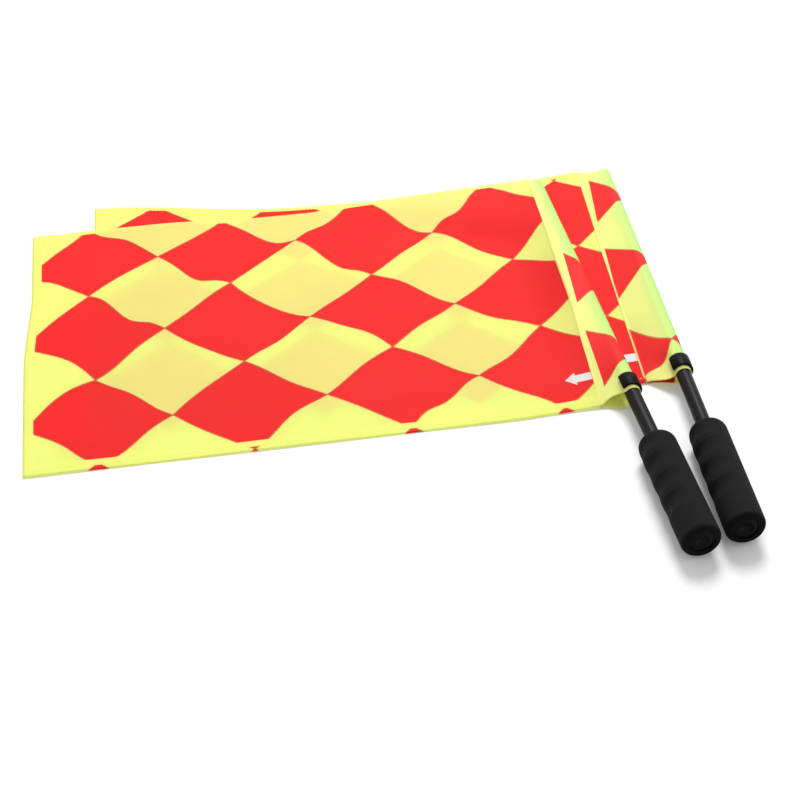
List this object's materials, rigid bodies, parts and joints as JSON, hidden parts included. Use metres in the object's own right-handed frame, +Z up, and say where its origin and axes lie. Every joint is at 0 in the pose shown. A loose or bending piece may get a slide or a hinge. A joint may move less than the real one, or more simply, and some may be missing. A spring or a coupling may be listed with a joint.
{
  "type": "linesman flag pair",
  "caption": "Two soccer linesman flags, one lying on the other: red and yellow diamond cloth on a swivelling black pole in a foam handle.",
  "frame": {"origin": "middle of the base of the bounding box, on the surface that the pair lies on", "axes": "+Z up, +X along the flags from the fly ends towards the poles, +Y along the poles from the handles towards the tips"},
  "size_m": [0.5456, 0.529, 0.0333],
  "materials": {
    "black_tube": "satin black lacquered thin-walled tube",
    "black_foam": "matt closed-cell foam, fine grain",
    "black_plastic": "moulded black plastic, slight sheen",
    "white_nylon": "plain turned nylon, hidden inside the handle",
    "flag_cloth": "plain-woven polyester printed with red diamonds on fluorescent yellow"
  },
  "bodies": {
    "rear_handle": {"rear_foam_grip": "black_foam", "rear_handle_liner": "black_plastic", "rear_butt_cap": "black_plastic", "rear_thrust_washer": "white_nylon"},
    "rear_flag": {"rear_pole_tube": "black_tube", "rear_tip_cap": "black_plastic", "rear_pole_end_stop": "white_nylon", "rear_cloth_clip": "black_plastic", "rear_pole_sleeve": "flag_cloth", "rear_flag_field": "flag_cloth"},
    "front_handle": {"front_foam_grip": "black_foam", "front_handle_liner": "black_plastic", "front_butt_cap": "black_plastic", "front_thrust_washer": "white_nylon"},
    "front_flag": {"front_pole_tube": "black_tube", "front_tip_cap": "black_plastic", "front_pole_end_stop": "white_nylon", "front_cloth_clip": "black_plastic", "front_pole_sleeve": "flag_cloth", "front_flag_field": "flag_cloth"}
  },
  "joints": [
    {"name": "rear_swivel", "type": "hinge", "parent": "rear_handle", "child": "rear_flag", "pos_m": [0.26522, 0.23258, 0.0069], "axis": [0.0419, 0.9989, -0.0224], "range_deg": [-180, 0]},
    {"name": "front_lift", "type": "slide", "parent": "rear_handle", "child": "front_handle", "axis": [0, 0, 1], "range_m": [0, 0.15]},
    {"name": "front_swivel", "type": "hinge", "parent": "front_handle", "child": "front_flag", "pos_m": [0.19773, 0.22558, 0.00785], "axis": [-0.0232, 0.9995, -0.02], "range_deg": [0, 140]}
  ]
}
